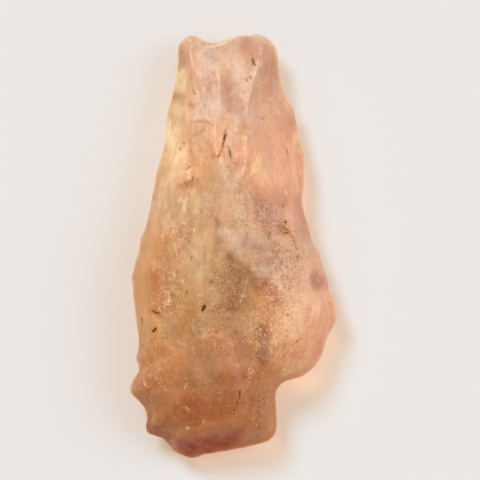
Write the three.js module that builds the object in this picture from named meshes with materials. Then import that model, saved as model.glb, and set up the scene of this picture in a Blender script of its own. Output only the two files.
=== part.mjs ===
// A raw piece of desert glass: one wind-worn, translucent stone lying on its back.
// Millimetres, +Z up, +Y towards its narrow end. The origin is under the middle of its box,
// on the surface that it rests on.
import * as THREE from 'three';

// Driving dimensions. The height follows from the crown below: about 8.
const stoneLength = 43.3;
const stoneWidth = 21.1;
const noseRadius = 0.42; // the rounding of the thin edge, all the way round
const bevelRounding = 0.3; // how softly a bevel turns into the face, as a share of its width
const axis = { x: -1.2, lean: 0.04 }; // the line down the middle of both faces, x = axis.x + lean * y
const crossFall = 1.1; // how far the upper face has dropped at crossFallReach from its axis
const crossFallReach = 10;
const shoulderDrop = 2.6; // how much further it drops towards the rim, over shoulderReach
const shoulderReach = 5;
const keelSpread = 1.5; // how far the underside has risen at crossFallReach from its axis
const lowerBevelWidth = 2.2; // of the bevel under the edge, all the way round
const scarEdge = 0.4; // width of the small step at the head and the sides of a flake scar

// Mesh
const rimSteps = 144;
const upperRings = 18;
const lowerRings = 9;
const nearRimWindow = 16; // rim steps on either side in which the nearest bit of rim is looked for
const spineEnds = [15.5, -15]; // the rungs of the mesh run from the rim to a spine between these y

// The rim, clockwise from the narrow end's left corner.
// Each row: x, y, height of the edge above the resting surface, width of the bevel behind it.
const rimStations = [
  [-5.63, 19.64, 3.1, 0.9], [-5.52, 20.56, 3.2, 0.8], [-5.14, 21.09, 3.3, 0.7],
  [-4.63, 21.46, 3.3, 0.7], [-4.02, 21.48, 3.3, 0.7], [-3.36, 21.23, 3.4, 0.6],
  [-2.69, 20.91, 3.5, 0.6], [-1.98, 20.83, 3.6, 0.6], [-1.16, 20.89, 3.6, 0.6],
  [-0.40, 21.15, 3.5, 0.6], [0.37, 21.43, 3.4, 0.7], [1.39, 21.50, 3.3, 0.7],
  [2.41, 21.64, 3.2, 0.7], [3.12, 21.46, 3.2, 0.8], [3.73, 20.99, 3.1, 0.9],
  [4.27, 20.31, 3.1, 0.9], [4.51, 19.34, 3.0, 0.9], [4.86, 16.79, 2.9, 1.0],
  [5.12, 15.77, 2.9, 1.0], [5.62, 14.80, 3.0, 1.0], [6.11, 13.93, 3.0, 1.1],
  [6.35, 12.91, 2.9, 1.2], [6.90, 10.36, 2.8, 1.3], [7.18, 9.29, 2.8, 1.4],
  [7.19, 6.28, 2.9, 1.2], [7.03, 4.54, 3.1, 1.0], [7.26, 3.21, 3.0, 1.0],
  [7.66, 2.09, 2.9, 1.1], [8.01, 0.61, 3.0, 1.1], [8.55, -0.39, 3.1, 1.1],
  [8.99, -1.73, 3.1, 1.2], [9.58, -3.47, 3.2, 1.2], [9.81, -4.74, 3.3, 1.3],
  [10.29, -5.61, 3.2, 1.3], [10.54, -6.68, 3.2, 1.3], [10.37, -7.81, 3.1, 1.3],
  [9.81, -8.83, 3.0, 1.4], [9.35, -10.05, 2.9, 1.4], [8.89, -11.33, 2.9, 1.4],
  [8.17, -12.35, 2.8, 1.4], [7.31, -13.08, 2.8, 1.3], [6.29, -13.52, 2.8, 1.2],
  [5.37, -13.74, 2.8, 1.1], [4.70, -14.23, 2.8, 1.0], [4.37, -15.00, 2.7, 1.0],
  [4.33, -16.38, 2.6, 1.0], [4.45, -17.70, 2.5, 1.1], [4.27, -19.13, 2.5, 1.2],
  [3.63, -19.81, 2.5, 1.4], [2.41, -20.23, 2.5, 1.7], [-0.14, -20.80, 2.5, 2.3],
  [-3.00, -21.30, 2.4, 2.5], [-4.17, -21.65, 2.4, 2.4], [-5.14, -21.34, 2.4, 2.0],
  [-6.01, -20.91, 2.5, 1.6], [-6.62, -20.21, 2.5, 1.4], [-7.18, -19.64, 2.6, 1.2],
  [-8.10, -19.32, 2.6, 1.1], [-8.77, -18.99, 2.7, 1.0], [-8.93, -18.42, 2.7, 1.0],
  [-8.83, -17.50, 2.7, 1.0], [-9.07, -16.48, 2.8, 1.0], [-9.73, -15.66, 2.9, 0.9],
  [-10.39, -15.03, 3.0, 0.9], [-10.53, -14.44, 3.0, 0.9], [-10.24, -13.62, 3.0, 0.9],
  [-9.69, -12.79, 2.9, 0.9], [-9.67, -12.09, 2.8, 0.9], [-9.91, -11.43, 2.8, 1.0],
  [-9.70, -10.51, 2.8, 1.0], [-9.65, -9.23, 2.7, 1.1], [-9.88, -7.86, 2.7, 1.2],
  [-10.24, -4.54, 2.6, 1.4], [-10.34, -3.01, 2.7, 1.4], [-10.04, -1.84, 2.8, 1.4],
  [-9.67, -0.46, 2.8, 1.4], [-9.43, 0.87, 2.8, 1.4], [-8.92, 2.14, 2.8, 1.4],
  [-8.53, 3.72, 2.9, 1.4], [-7.90, 7.09, 3.0, 1.5], [-7.18, 9.95, 2.9, 1.6],
  [-6.90, 11.07, 3.0, 1.6], [-6.85, 12.50, 3.0, 1.6], [-6.63, 13.93, 3.0, 1.5],
  [-6.21, 15.46, 3.0, 1.3], [-5.90, 16.79, 3.0, 1.2], [-5.71, 18.32, 3.1, 1.0],
];

// Bow of each face along its axis: the height at y = at, and how much it has changed by at the
// distances given towards the narrow and the wide end. The underside is then worn flat at zero.
const crown = { height: 7.9, at: -9, change: -2.3, towardsNarrow: 32, towardsWide: 14 };
const keel = { height: -0.4, at: -4, change: 2.3, towardsNarrow: 27, towardsWide: 21 };

// Ridges and, with a negative rise, valleys: rise, half width, path of x, y points.
const ridges = [
  { rise: 0.34, width: 0.34, path: [[-1.5, 17], [-1.5, 14.6], [-1.75, 12.7], [-1.75, 9.3], [0, 5.5]] },
  { rise: 0.28, width: 0.36, path: [[1.45, 15.6], [1.2, 13.7], [1.15, 11], [1.1, 8.3], [0.7, 6]] },
  { rise: 0.26, width: 0.4, path: [[2.4, 20.3], [2.5, 19], [2.1, 17.2], [1.7, 16], [1.45, 15.6]] },
  { rise: 0.2, width: 0.5, path: [[-4.3, 21], [-4.1, 18.5], [-4.2, 13], [-4.4, 9.8]] },
  { rise: 0.3, width: 0.5, path: [[-5.8, -19.3], [-3.4, -18.7], [-0.1, -17.8], [1.2, -17.3]] },
  { rise: 0.22, width: 0.7, path: [[-1.1, 0.9], [1.2, -1], [2.9, -2.6], [4.8, -4.2], [6.8, -5.4]] },
  { rise: 0.2, width: 0.45, path: [[2.3, -10], [2.2, -11.4], [1.8, -12.8]] },
  { rise: 0.14, width: 0.7, path: [[-3.6, -6.9], [-3.2, -10]] },
  { rise: -0.18, width: 0.5, path: [[-1.2, 20.3], [-1.25, 17.5], [-1.1, 15.4], [-0.7, 14.1]] },
  { rise: -0.16, width: 0.35, path: [[-1.6, 2.7], [-1.5, 0.8], [-1.6, -1]] },
  { rise: -0.14, width: 0.6, path: [[-3.1, -11], [-2.6, -14], [-2.4, -17]] },
];

// Shallow flake scars: head, direction they run in (degrees), half width, length, depth, taper.
const scars = [
  { x: -0.45, y: 12.9, turn: -87, half: 1.35, length: 7.4, depth: 0.5, taper: 0.85 },
  { x: -2.9, y: 12.85, turn: -92, half: 1.1, length: 5.2, depth: 0.36, taper: 0.2 },
  { x: -1.4, y: 16.6, turn: -8, half: 2.9, length: 3.2, depth: 0.4, taper: 0.2 },
  { x: 1.6, y: 14, turn: -6, half: 1.4, length: 2.4, depth: 0.26, taper: 0.3 },
  { x: 2.1, y: -2.5, turn: 226, half: 3.0, length: 4.4, depth: 0.36, taper: 0.3 },
  { x: 3.7, y: -7.6, turn: 184, half: 3.1, length: 2, depth: 0.3, taper: 0.3 },
  { x: -8.6, y: -3.6, turn: 4, half: 2.3, length: 2.6, depth: 0.26, taper: 0.4 },
];

// Round hollows: x, y, radius, depth.
const hollows = [
  [2.0, 18.6, 0.75, 0.34], [-4.6, 5.9, 0.9, 0.26], [5.1, 1.8, 0.8, 0.28], [8.4, -3.5, 0.85, 0.36],
  [-9.1, -13.9, 0.7, 0.24], [-7.9, -6.9, 0.7, 0.22], [-4.3, 14.3, 0.6, 0.2], [4.6, -14.2, 1.0, 0.2],
];

// Gentle waves of the two faces: height, waves per millimetre along x and y, phase.
const upperWaves = [
  [0.09, 0.52, 0.06, 0.4], [0.07, 0.33, -0.09, 2.1], [0.06, 0.11, 0.17, 4.0],
  [0.05, 0.24, 0.13, 5.3], [0.05, 0.05, -0.21, 1.2],
];
const lowerWaves = [
  [0.16, 0.13, 0.08, 1.1], [0.12, -0.1, 0.16, 3.4], [0.08, 0.23, 0.05, 0.3],
];

const clamp = (value) => Math.min(Math.max(value, 0), 1);
const smooth = (value) => clamp(value) ** 2 * (3 - 2 * clamp(value));

// Height of a bowed face at y: height + change * ((y - at) / distance)^2.
function bowAt(bow, y) {
  const distance = y > bow.at ? bow.towardsNarrow : bow.towardsWide;
  return bow.height + bow.change * ((y - bow.at) / distance) ** 2;
}

// Distance from (x, y) to the segment from a to b.
function segmentDistance(x, y, a, b) {
  const [ex, ey] = [b[0] - a[0], b[1] - a[1]];
  const along = clamp(((x - a[0]) * ex + (y - a[1]) * ey) / (ex * ex + ey * ey));
  return Math.hypot(x - a[0] - along * ex, y - a[1] - along * ey);
}

// rise * exp(1 - sqrt(1 + (distance / width)^2)): a crest with a rounded top.
function ridgeRise(x, y, ridge) {
  let nearest = Infinity;
  for (let i = 1; i < ridge.path.length; i += 1) {
    nearest = Math.min(nearest, segmentDistance(x, y, ridge.path[i - 1], ridge.path[i]));
  }
  return ridge.rise * Math.exp(1 - Math.sqrt(1 + (nearest / ridge.width) ** 2));
}

// A step down at the head and the sides that runs out to nothing at the tail:
// depth * smooth(along) * smooth(across) * (1 - along / length).
function scarDepth(x, y, scar) {
  const turn = THREE.MathUtils.degToRad(scar.turn);
  const [dx, dy] = [x - scar.x, y - scar.y];
  const along = dx * Math.cos(turn) + dy * Math.sin(turn);
  const across = -dx * Math.sin(turn) + dy * Math.cos(turn);
  const left = 1 - along / scar.length;
  const half = scar.half * (1 - scar.taper * (1 - left));
  return scar.depth * smooth(along / scarEdge) * smooth((half - Math.abs(across)) / scarEdge) * clamp(left);
}

const wave = (x, y, [height, alongX, alongY, phase]) =>
  height * Math.sin(2 * Math.PI * (alongX * x + alongY * y) + phase);

const sum = (list, term) => list.reduce((total, item) => total + term(item), 0);

const axisX = (y) => axis.x + axis.lean * y;

function upperFace(x, y) {
  const fall = crossFall * ((x - axisX(y)) / crossFallReach) ** 2;
  const raised = sum(ridges, (ridge) => ridgeRise(x, y, ridge));
  const waves = sum(upperWaves, (item) => wave(x, y, item));
  const struck = sum(scars, (scar) => scarDepth(x, y, scar));
  const dips = sum(hollows, ([hx, hy, radius, depth]) =>
    depth * Math.exp(-((x - hx) ** 2 + (y - hy) ** 2) / radius ** 2));
  return bowAt(crown, y) - fall + raised + waves - struck - dips;
}

function lowerFace(x, y) {
  const spread = keelSpread * ((x - axisX(y)) / crossFallReach) ** 2;
  return bowAt(keel, y) + spread + sum(lowerWaves, (item) => wave(x, y, item));
}

// Rises from 0 at the rim to 1 at the bevel's inner border, which is rounded.
function bevelShare(distance, width) {
  const share = distance / width;
  return Math.min(share, 1) - Math.max(bevelRounding - Math.abs(share - 1), 0) ** 2 / (4 * bevelRounding);
}

// Quarter circle from the rim inwards.
function nose(distance) {
  return noseRadius * Math.sqrt(1 - (1 - Math.min(distance / noseRadius, 1)) ** 2);
}

// Evenly spaced points of a smooth closed curve through the stations, fitted to the stone's box.
function rimPoints() {
  const curve = new THREE.CatmullRomCurve3(
    rimStations.map(([x, y, height]) => new THREE.Vector3(x, y, height)), true, 'centripetal');
  curve.arcLengthDivisions = rimSteps * 16;
  const points = [];
  for (let step = 0; step < rimSteps; step += 1) {
    const share = curve.getUtoTmapping(step / rimSteps);
    const place = share * rimStations.length;
    const before = rimStations[Math.floor(place) % rimStations.length];
    const after = rimStations[(Math.floor(place) + 1) % rimStations.length];
    const bevel = THREE.MathUtils.lerp(before[3], after[3], place - Math.floor(place));
    points.push({ at: curve.getPoint(share), bevel });
  }
  const box = new THREE.Box3().setFromPoints(points.map((point) => point.at));
  const middle = box.getCenter(new THREE.Vector3());
  const size = box.getSize(new THREE.Vector3());
  for (const { at } of points) {
    at.x = (at.x - middle.x) * (stoneWidth / size.x);
    at.y = (at.y - middle.y) * (stoneLength / size.y);
  }
  return points;
}

// The rim step that starts the rungs is the middle of the narrow end, so that steps
// step and rimSteps - step lie across from each other and share their point of the spine.
function startAtNarrowEnd(points) {
  const offAxis = ({ at }) => (at.y > 0 ? Math.abs(at.x - axisX(at.y)) : Infinity);
  let start = 0;
  points.forEach((point, step) => {
    if (offAxis(point) < offAxis(points[start])) {
      start = step;
    }
  });
  return points.slice(start).concat(points.slice(0, start));
}

// The spine's y at a share of the way down it, a little slower at its two ends.
function spineAt(share) {
  const eased = (share + (1 - Math.cos(Math.PI * share)) / 2) / 2;
  return THREE.MathUtils.lerp(spineEnds[0], spineEnds[1], eased);
}

// Distance in plan from (x, y) to the stretch of rim around a step.
function rimDistance(x, y, rim, step) {
  let nearest = Infinity;
  for (let offset = -nearRimWindow; offset < nearRimWindow; offset += 1) {
    const a = rim[(step + offset + rimSteps) % rimSteps].at;
    const b = rim[(step + offset + 1 + rimSteps) % rimSteps].at;
    nearest = Math.min(nearest, segmentDistance(x, y, [a.x, a.y], [b.x, b.y]));
  }
  return nearest;
}

// The two faces as rungs from the rim to the spine, denser towards the rim.
function stoneGeometry() {
  const rim = startAtNarrowEnd(rimPoints());
  const positions = [];
  const indices = [];
  const vertexOf = new Map();

  function vertex(step, ring, rings, upper) {
    const turnedStep = (step + rimSteps) % rimSteps;
    const across = (rimSteps - turnedStep) % rimSteps;
    const owner = ring === rings ? Math.min(turnedStep, across) : turnedStep;
    const key = ring === 0 ? `rim ${owner}` : `${upper} ${ring} ${owner}`;
    if (vertexOf.has(key)) {
      return vertexOf.get(key);
    }
    const { at, bevel } = rim[owner];
    const spineY = spineAt(Math.min(turnedStep, across) / (rimSteps / 2));
    const inward = 1 - Math.cos((Math.PI / 2) * (ring / rings));
    const x = THREE.MathUtils.lerp(at.x, axisX(spineY), inward);
    const y = THREE.MathUtils.lerp(at.y, spineY, inward);
    const distance = ring === 0 ? 0 : rimDistance(x, y, rim, owner);
    let z = at.z;
    if (upper) {
      const shoulder = shoulderDrop * clamp(1 - distance / shoulderReach) ** 2;
      const rise = upperFace(x, y) - shoulder - at.z - noseRadius;
      z += nose(distance) + rise * bevelShare(distance, bevel);
    } else {
      z += -nose(distance) + (lowerFace(x, y) - at.z + noseRadius) * bevelShare(distance, lowerBevelWidth);
      z = Math.max(z, 0);
    }
    positions.push(x, y, z);
    vertexOf.set(key, positions.length / 3 - 1);
    return vertexOf.get(key);
  }

  function sheet(rings, upper) {
    for (let step = 0; step < rimSteps; step += 1) {
      for (let ring = 0; ring < rings; ring += 1) {
        const a = vertex(step, ring, rings, upper);
        const b = vertex(step + 1, ring, rings, upper);
        const c = vertex(step + 1, ring + 1, rings, upper);
        const d = vertex(step, ring + 1, rings, upper);
        const split = step % (rimSteps / 2) < rimSteps / 4 ? [a, b, d, b, c, d] : [a, b, c, a, c, d];
        indices.push(...(upper ? split.reverse() : split));
      }
    }
  }
  sheet(upperRings, true);
  sheet(lowerRings, false);

  const geometry = new THREE.BufferGeometry();
  geometry.setAttribute('position', new THREE.Float32BufferAttribute(positions, 3));
  geometry.setIndex(indices);
  geometry.computeVertexNormals();
  return geometry;
}

const glass = new THREE.MeshStandardMaterial({ color: 0xd8a67a, roughness: 0.42, metalness: 0 });
const stone = new THREE.Mesh(stoneGeometry(), glass);
stone.name = 'desert_glass';

const model = new THREE.Group();
model.add(stone);

export default model;
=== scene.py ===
# Raw desert glass: a frosted, honey coloured natural glass stone on a pale floor.
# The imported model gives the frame, numpy works out the fine surface, and node groups its finish.
import math

import bpy
import numpy as np
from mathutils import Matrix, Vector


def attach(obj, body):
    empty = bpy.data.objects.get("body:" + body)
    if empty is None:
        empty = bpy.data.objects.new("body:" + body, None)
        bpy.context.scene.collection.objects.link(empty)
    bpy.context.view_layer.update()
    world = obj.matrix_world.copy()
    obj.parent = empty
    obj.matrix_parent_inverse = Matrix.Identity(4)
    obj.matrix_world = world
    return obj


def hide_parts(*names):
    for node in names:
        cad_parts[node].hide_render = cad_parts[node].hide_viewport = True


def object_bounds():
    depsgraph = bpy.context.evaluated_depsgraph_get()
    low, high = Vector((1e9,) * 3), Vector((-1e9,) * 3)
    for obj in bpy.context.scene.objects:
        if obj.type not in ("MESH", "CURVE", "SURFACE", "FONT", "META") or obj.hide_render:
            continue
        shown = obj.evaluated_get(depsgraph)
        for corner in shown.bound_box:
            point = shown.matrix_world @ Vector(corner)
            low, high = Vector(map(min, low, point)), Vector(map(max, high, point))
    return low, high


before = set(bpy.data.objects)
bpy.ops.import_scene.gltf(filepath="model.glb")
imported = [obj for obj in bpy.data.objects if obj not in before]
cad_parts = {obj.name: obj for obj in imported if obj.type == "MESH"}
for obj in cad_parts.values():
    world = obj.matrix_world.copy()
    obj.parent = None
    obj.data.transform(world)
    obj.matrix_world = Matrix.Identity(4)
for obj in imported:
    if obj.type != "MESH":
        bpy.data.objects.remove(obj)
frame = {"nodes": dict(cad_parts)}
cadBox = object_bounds()
mm = 0.001
print("frame loaded:", ", ".join(frame["nodes"]))

# The stone's shape in millimetres, as its solid has it, with the finer relief below it.
stone = {
    "node": "desert_glass",
    "rimSteps": 900,
    "upperRings": 86,
    "lowerRings": 24,
    "spineEnds": (15.5, -15.0),
    "axisX": -1.2,           # line down the middle of both faces: x = axisX + axisLean * y
    "axisLean": 0.04,
    "noseRadius": 0.3,       # rounding of the thin edge
    "bevelRounding": 0.3,    # share of a bevel's width over which it turns into the face
    "crossFall": 1.1,        # drop of the upper face at crossReach from the axis
    "crossReach": 10.0,
    "shoulderDrop": 2.6,     # further drop towards the rim, over shoulderReach
    "shoulderReach": 5.0,
    "keelSpread": 1.5,
    "lowerBevel": 2.2,
    "scarEdge": 0.42,
    "scarBow": 0.35,
    "scarFade": 2.4,         # how much wider its left side runs out than its head
    "facesPart": 3.2,        # marks lie on the upper face, above this height
    "ease": 14,              # rim steps over which the bevel turns its corners
    "evenRings": 0.55,       # share of even ring spacing; the rest is denser towards the rim
    "crown": (7.9, -9.0, -2.3, 32.0, 14.0),   # height, at y, change at these distances up and down the axis
    "keel": (-0.4, -4.0, 2.3, 27.0, 21.0),
    # x, y, height of the edge, width of the bevel behind it; clockwise from the narrow end's left corner
    "rim": [
        (-5.63, 19.64, 3.1, 0.9), (-5.52, 20.56, 3.2, 0.8), (-5.14, 21.09, 3.3, 0.7),
        (-4.63, 21.46, 3.3, 0.7), (-4.02, 21.48, 3.3, 0.7), (-3.36, 21.23, 3.4, 0.6),
        (-2.69, 20.91, 3.5, 0.6), (-1.98, 20.83, 3.6, 0.6), (-1.16, 20.89, 3.6, 0.6),
        (-0.40, 21.15, 3.5, 0.6), (0.37, 21.43, 3.4, 0.7), (1.39, 21.50, 3.3, 0.7),
        (2.41, 21.64, 3.2, 0.7), (3.12, 21.46, 3.2, 0.8), (3.73, 20.99, 3.1, 0.9),
        (4.27, 20.31, 3.1, 0.9), (4.51, 19.34, 3.0, 0.9), (4.86, 16.79, 2.9, 1.0),
        (5.12, 15.77, 2.9, 1.0), (5.62, 14.80, 3.0, 1.0), (6.11, 13.93, 3.0, 1.1),
        (6.35, 12.91, 2.9, 1.2), (6.90, 10.36, 2.8, 1.3), (7.18, 9.29, 2.8, 1.4),
        (7.19, 6.28, 2.9, 1.2), (7.03, 4.54, 3.1, 1.0), (7.26, 3.21, 3.0, 1.0),
        (7.66, 2.09, 2.9, 1.1), (8.01, 0.61, 3.0, 1.1), (8.55, -0.39, 3.1, 1.1),
        (8.99, -1.73, 3.1, 1.2), (9.58, -3.47, 3.2, 1.2), (9.81, -4.74, 3.3, 1.3),
        (10.29, -5.61, 3.2, 1.3), (10.54, -6.68, 3.2, 1.3), (10.37, -7.81, 3.1, 1.3),
        (9.81, -8.83, 3.0, 1.4), (9.35, -10.05, 2.9, 1.4), (8.89, -11.33, 2.9, 1.4),
        (8.17, -12.35, 2.8, 1.4), (7.31, -13.08, 2.8, 1.3), (6.29, -13.52, 2.8, 1.2),
        (5.37, -13.74, 2.8, 1.1), (4.70, -14.23, 2.8, 1.0), (4.37, -15.00, 2.7, 1.0),
        (4.33, -16.38, 2.6, 1.0), (4.45, -17.70, 2.5, 1.1), (4.27, -19.13, 2.5, 1.2),
        (3.63, -19.81, 2.5, 1.4), (2.41, -20.23, 2.5, 1.7), (-0.14, -20.80, 2.5, 2.3),
        (-3.00, -21.30, 2.4, 2.5), (-4.17, -21.65, 2.4, 2.4), (-5.14, -21.34, 2.4, 2.0),
        (-6.01, -20.91, 2.5, 1.6), (-6.62, -20.21, 2.5, 1.4), (-7.18, -19.64, 2.6, 1.2),
        (-8.10, -19.32, 2.6, 1.1), (-8.77, -18.99, 2.7, 1.0), (-8.93, -18.42, 2.7, 1.0),
        (-8.83, -17.50, 2.7, 1.0), (-9.07, -16.48, 2.8, 1.0), (-9.73, -15.66, 2.9, 0.9),
        (-10.39, -15.03, 3.0, 0.9), (-10.53, -14.44, 3.0, 0.9), (-10.24, -13.62, 3.0, 0.9),
        (-9.69, -12.79, 2.9, 0.9), (-9.67, -12.09, 2.8, 0.9), (-9.91, -11.43, 2.8, 1.0),
        (-9.70, -10.51, 2.8, 1.0), (-9.65, -9.23, 2.7, 1.1), (-9.88, -7.86, 2.7, 1.2),
        (-10.24, -4.54, 2.6, 1.4), (-10.34, -3.01, 2.7, 1.4), (-10.04, -1.84, 2.8, 1.4),
        (-9.67, -0.46, 2.8, 1.4), (-9.43, 0.87, 2.8, 1.4), (-8.92, 2.14, 2.8, 1.4),
        (-8.53, 3.72, 2.9, 1.4), (-7.90, 7.09, 3.0, 1.5), (-7.18, 9.95, 2.9, 1.6),
        (-6.90, 11.07, 3.0, 1.6), (-6.85, 12.50, 3.0, 1.6), (-6.63, 13.93, 3.0, 1.5),
        (-6.21, 15.46, 3.0, 1.3), (-5.90, 16.79, 3.0, 1.2), (-5.71, 18.32, 3.1, 1.0),
    ],
    # rise, half width, path of x, y points; a negative rise is a valley
    "ridges": [
        (0.15, 0.26, [(-1.75, 18.8), (-1.45, 17.2), (-1.4, 15.0), (-1.55, 13.6), (-1.8, 12.6), (-1.8, 10.1), (-1.55, 9.0)]),
        (0.12, 0.22, [(-1.55, 9.0), (-1.15, 8.0), (-0.75, 6.8), (-0.4, 6.1)]),
        (0.18, 0.26, [(2.7, 20.0), (2.5, 18.8), (2.3, 17.8), (2.05, 17.0), (1.7, 16.2), (1.7, 15.4), (1.4, 14.4), (1.3, 12.6)]),
        (0.10, 0.24, [(1.3, 12.6), (1.25, 9.8), (0.95, 7.5), (0.7, 6.4)]),
        (0.20, 0.36, [(-4.6, 21.0), (-4.4, 19.8), (-4.2, 19.0), (-3.9, 17.0), (-4.0, 14.0), (-4.3, 10.0)]),
        (0.26, 0.45, [(-5.8, -19.3), (-3.4, -18.7), (-0.1, -17.8), (1.2, -17.3)]),
        (0.16, 0.70, [(-1.1, 0.9), (1.2, -1.0), (2.9, -2.6), (4.8, -4.2), (6.8, -5.4)]),
        (0.16, 0.40, [(2.3, -10.0), (2.2, -11.4), (1.8, -12.8)]),
        (0.12, 0.60, [(-3.6, -6.9), (-3.2, -10.0)]),
        (0.14, 0.30, [(-8.5, -1.6), (-8.5, -4.5), (-8.2, -6.5)]),
        (0.12, 0.26, [(3.6, -5.4), (3.4, -8.6), (2.9, -10.6), (2.8, -13.0)]),
        (-0.12, 0.35, [(2.0, 15.4), (1.95, 12.9)]),
        (-0.13, 0.34, [(-1.45, 2.6), (-1.5, 1.0), (-1.75, -0.4)]),
        (-0.12, 0.50, [(-3.1, -11.0), (-2.6, -14.0), (-2.4, -17.0)]),
    ],
    # head x, y, direction in degrees, half width, length, depth, taper
    "scars": [
        (-3.15, 12.9, -98, 1.5, 6.2, 0.15, 0.15),
    ],
    # middle x, y, half width, half length, turn in degrees, depth; neighbours meet in a soft crest
    "scoops": [
        (0.1, 16.2, 1.5, 4.6, 2, 0.34), (-0.6, 15.2, 0.9, 3.0, 2, 0.20), (-0.3, 9.2, 1.35, 3.3, 4, 0.30), (-2.9, 16.6, 1.3, 4.0, 3, 0.20), (3.3, 17.4, 1.1, 3.2, 4, 0.26),
        (3.6, 9.6, 1.7, 5.6, 5, 0.24), (6.0, 9.5, 1.1, 4.6, 8, 0.16), (-5.4, 5.4, 1.5, 5.4, -12, 0.22),
        (-2.6, 4.6, 1.5, 4.2, 4, 0.16), (3.4, 3.7, 2.2, 2.5, -30, 0.26), (0.4, 3.2, 1.5, 2.6, 10, 0.16),
        (-6.9, -3.9, 1.5, 3.3, 4, 0.26), (-3.9, -1.6, 1.4, 3.2, 0, 0.16), (1.3, -4.3, 1.7, 3.2, 14, 0.34),
        (3.4, -9.0, 0.9, 3.8, 6, 0.30), (-2.7, -10.2, 2.5, 4.2, 8, 0.20), (-3.4, -15.8, 3.2, 2.6, 10, 0.26),
        (0.6, -11.8, 1.6, 3.6, 6, 0.16), (6.4, -2.0, 2.0, 2.6, 40, 0.18), (7.4, -7.6, 2.0, 3.4, 14, 0.22),
        (5.9, -11.2, 1.8, 2.0, 50, 0.18), (2.6, -15.6, 1.6, 3.0, 4, 0.18), (-7.0, -14.8, 1.5, 3.2, -10, 0.26),
        (-7.0, -9.6, 1.9, 2.8, -6, 0.18), (-2.6, -20.0, 3.2, 0.8, 8, 0.24), (-6.6, 12.0, 0.8, 4.2, -8, 0.16),
    ],
    # x, y, radius, depth
    "hollows": [
        (2.0, 18.6, 0.6, 0.24), (-4.6, 5.9, 0.6, 0.20), (5.1, 1.8, 0.7, 0.26), (8.5, -3.5, 0.7, 0.34),
        (-9.1, -13.9, 0.6, 0.24), (-7.7, -6.8, 0.5, 0.22), (-4.3, 14.3, 0.5, 0.16), (4.6, -14.2, 1.0, 0.2),
        (-3.0, -6.2, 0.22, 0.12), (-8.0, -8.4, 0.22, 0.12), (-0.6, 9.4, 0.35, 0.14), (-4.9, 4.4, 0.4, 0.12),
        (2.1, -11.4, 0.3, 0.12), (-4.9, -16.1, 0.3, 0.10), (-6.4, -5.2, 0.35, 0.12), (1.1, 3.4, 0.35, 0.10),
    ],
    # height, waves per millimetre along x and y, phase
    "upperWaves": [(0.05, 0.33, -0.09, 2.1), (0.06, 0.11, 0.17, 4.0), (0.05, 0.24, 0.13, 5.3), (0.05, 0.05, -0.21, 1.2)],
    "lowerWaves": [(0.16, 0.13, 0.08, 1.1), (0.12, -0.1, 0.16, 3.4), (0.08, 0.23, 0.05, 0.3)],
    # seed, cell along x and y, height or reach
    "wander": [(21, 2.6, 3.4, 0.34), (22, 0.9, 1.2, 0.12)],
    "tremble": [(23, 1.6, 1.9, 0.12), (24, 0.5, 0.6, 0.05)],
    "grain": [(11, 2.3, 4.6, 0.11), (12, 1.1, 2.0, 0.062), (13, 0.55, 0.75, 0.034), (14, 0.3, 0.34, 0.016)],
    "edgeWaver": [(31, 2.6, 2.6, 0.26), (32, 0.9, 0.9, 0.09)],
}


# hermite(t) of a closed centripetal Catmull-Rom curve, then even steps along its length.
def rimCurve(stations, steps, samples=24):
    p = np.array(stations, float)
    before, after, later = np.roll(p, 1, 0), np.roll(p, -1, 0), np.roll(p, -2, 0)
    gap = np.sqrt(np.linalg.norm((after - p)[:, :3], axis=1))[:, None]
    gapBefore, gapAfter = np.roll(gap, 1, 0), np.roll(gap, -1, 0)
    leave = gap * ((p - before) / gapBefore - (after - before) / (gapBefore + gap) + (after - p) / gap)
    arrive = gap * ((after - p) / gap - (later - p) / (gap + gapAfter) + (later - after) / gapAfter)
    t = (np.arange(samples) / samples)[None, :, None]
    curve = ((2 * t**3 - 3 * t**2 + 1) * p[:, None] + (t**3 - 2 * t**2 + t) * leave[:, None]
             + (3 * t**2 - 2 * t**3) * after[:, None] + (t**3 - t**2) * arrive[:, None])
    curve = curve.reshape(-1, p.shape[1])
    closed = np.vstack([curve, curve[:1]])
    length = np.r_[0, np.cumsum(np.linalg.norm(np.diff(closed[:, :3], axis=0), axis=1))]
    even = np.arange(steps) / steps * length[-1]
    return np.stack([np.interp(even, length, column) for column in closed.T], axis=1)


def smooth(t):
    t = np.clip(t, 0, 1)
    return t * t * (3 - 2 * t)


# Distance in plan from the points to the segment a-b.
def segmentDistance(x, y, a, b):
    ex, ey = b[0] - a[0], b[1] - a[1]
    along = np.clip(((x - a[0]) * ex + (y - a[1]) * ey) / (ex * ex + ey * ey + 1e-12), 0, 1)
    return np.hypot(x - a[0] - along * ex, y - a[1] - along * ey)


# Distance in plan to the nearest bit of rim, over the rim steps around each rung.
def rimDistance(x, y, rim, reach):
    nearest = np.full(x.shape, 1e9)
    for offset in range(-reach, reach):
        a, b = np.roll(rim, -offset, 0), np.roll(rim, -offset - 1, 0)
        nearest = np.minimum(nearest, segmentDistance(x, y, a[:, :2].T[:, :, None], b[:, :2].T[:, :, None]))
    return nearest


# Gradient noise: slope of a seeded direction at each lattice corner, eased from corner to corner.
def hills(x, y, seed, cellX, cellY):
    turns = np.random.default_rng(seed).uniform(0, 2 * math.pi, (256, 256))
    u, v = x / cellX, y / cellY
    i, j = np.floor(u).astype(int), np.floor(v).astype(int)
    fu, fv = u - i, v - j

    def corner(di, dj):
        turn = turns[(i + di) % 256, (j + dj) % 256]
        return np.cos(turn) * (fu - di) + np.sin(turn) * (fv - dj)

    easeU, easeV = smooth(fu), smooth(fv)
    low = corner(0, 0) * (1 - easeU) + corner(1, 0) * easeU
    high = corner(0, 1) * (1 - easeU) + corner(1, 1) * easeU
    return 1.5 * (low * (1 - easeV) + high * easeV)


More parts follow.
